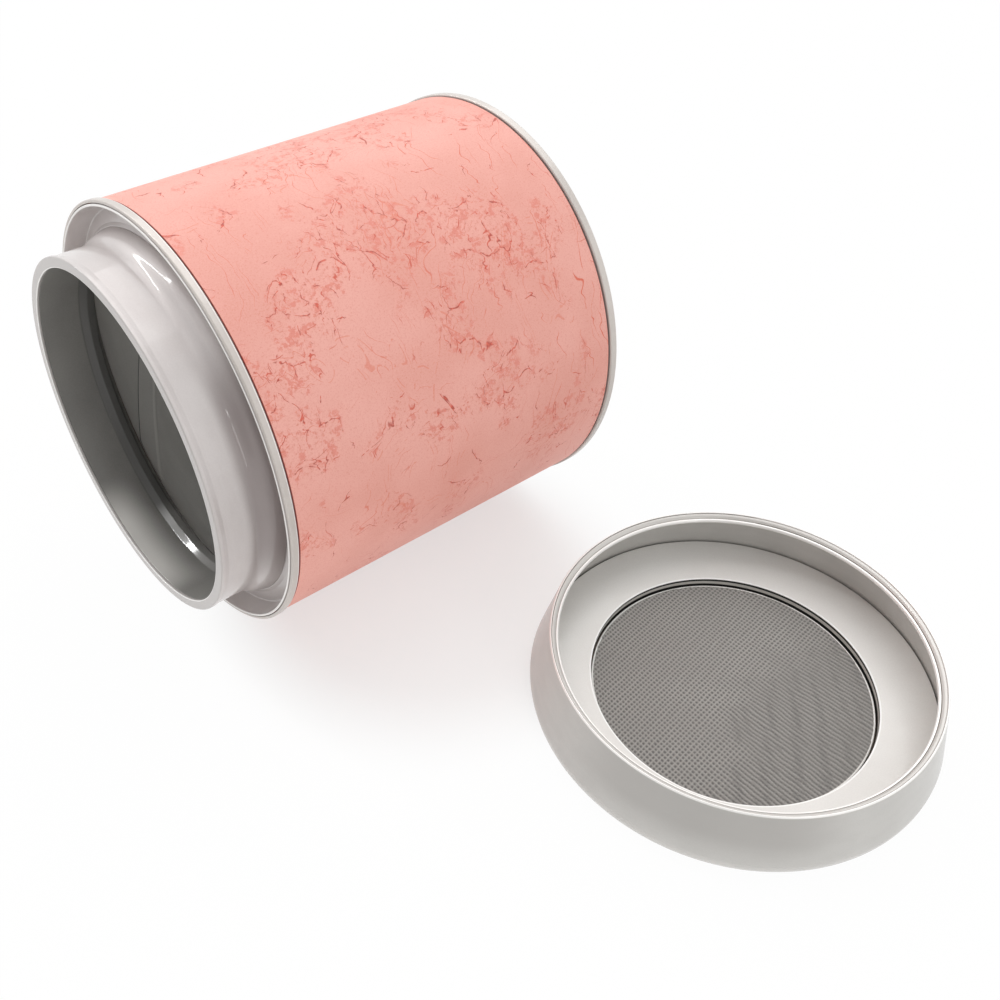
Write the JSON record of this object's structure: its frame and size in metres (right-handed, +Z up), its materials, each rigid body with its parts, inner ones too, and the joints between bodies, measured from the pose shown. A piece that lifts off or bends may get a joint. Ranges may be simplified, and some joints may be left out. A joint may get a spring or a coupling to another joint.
{
  "type": "cardboard tube with metal lid",
  "caption": "Round cardboard canister wrapped in mottled pink paper, with a metal neck and rim rings, lying on its side beside its metal lid with a grained pad inside.",
  "frame": {"origin": "on the floor, under the centre of the box round the lying tube and the lid beside it", "axes": "+X along the tube's axis from its mouth to its base, -Y towards the lid, +Z up"},
  "size_m": [0.1254, 0.188, 0.0908],
  "materials": {
    "mottled_paper": "matt pink paper with coral mottling and fine cracks",
    "grey_board": "plain grey board, hidden",
    "dark_liner": "dark grey lining with a slight sheen",
    "satin_metal": "satin silver-grey sheet metal",
    "sleeve_lacquer": "dark grey, half gloss",
    "dark_card": "dark grey card",
    "step_ring_metal": "warm grey satin sheet metal",
    "grained_pad": "grey leather-like grain, matt"
  },
  "bodies": {
    "tube": {"paper_wrap": "mottled_paper", "board_tube": "grey_board", "inner_liner": "dark_liner", "front_rim_ring": "satin_metal", "neck_collar": "satin_metal", "neck_sleeve": "sleeve_lacquer", "base_rim_ring": "satin_metal", "base_plate": "satin_metal", "base_card": "dark_card"},
    "lid": {"lid_shell": "satin_metal", "lid_step_ring": "step_ring_metal", "lid_pad": "grained_pad", "lid_backing_board": "grey_board"}
  },
  "joints": [
    {"name": "lid_lift", "type": "slide", "parent": "tube", "child": "lid", "axis": [0, 0, 1], "range_m": [0, 0.12]}
  ]
}
